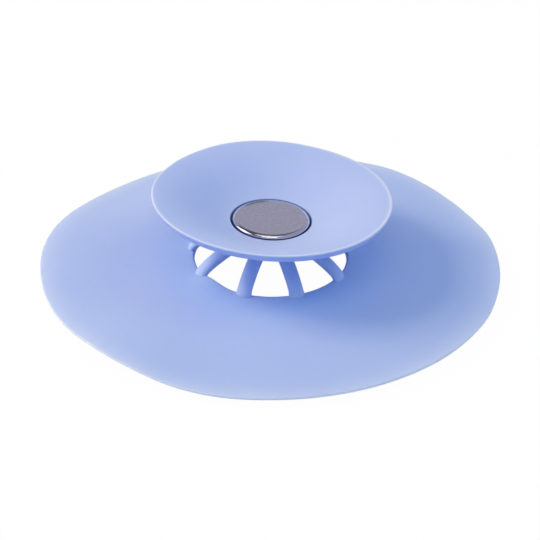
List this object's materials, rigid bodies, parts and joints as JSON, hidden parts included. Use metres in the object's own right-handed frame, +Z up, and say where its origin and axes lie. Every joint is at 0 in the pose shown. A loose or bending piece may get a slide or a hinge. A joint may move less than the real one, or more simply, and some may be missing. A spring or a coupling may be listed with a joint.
{
  "type": "sink strainer",
  "caption": "Push-down sink strainer: a wide soft brim round a drain hole, arched ribs that carry a shallow saucer over the hole, and a round steel button in the saucer's middle.",
  "frame": {"origin": "on the drain's axis, at the level of the brim's lowest point, which is the middle of the underside of the bounding box", "axes": "+Z up out of the drain, the way the button faces; +X to the right and -Y towards the viewer of the picture, where the window between two ribs faces forwards"},
  "size_m": [0.15, 0.15, 0.03],
  "materials": {
    "blue_silicone": "soft matt silicone",
    "brushed_steel": "satin top, polished rolled edge"
  },
  "bodies": {
    "brim": {"brim": "blue_silicone", "rib_01": "blue_silicone", "rib_02": "blue_silicone", "rib_03": "blue_silicone", "rib_04": "blue_silicone", "rib_05": "blue_silicone", "rib_06": "blue_silicone", "rib_07": "blue_silicone", "rib_08": "blue_silicone", "rib_09": "blue_silicone"},
    "saucer": {"hub": "blue_silicone", "saucer": "blue_silicone", "steel_button": "brushed_steel"}
  },
  "joints": [
    {"name": "saucer_press", "type": "slide", "parent": "brim", "child": "saucer", "axis": [0, 0, 1], "range_m": [-0.0142, 0], "deforming": ["rib_01", "rib_02", "rib_03", "rib_04", "rib_05", "rib_06", "rib_07", "rib_08", "rib_09"]}
  ]
}
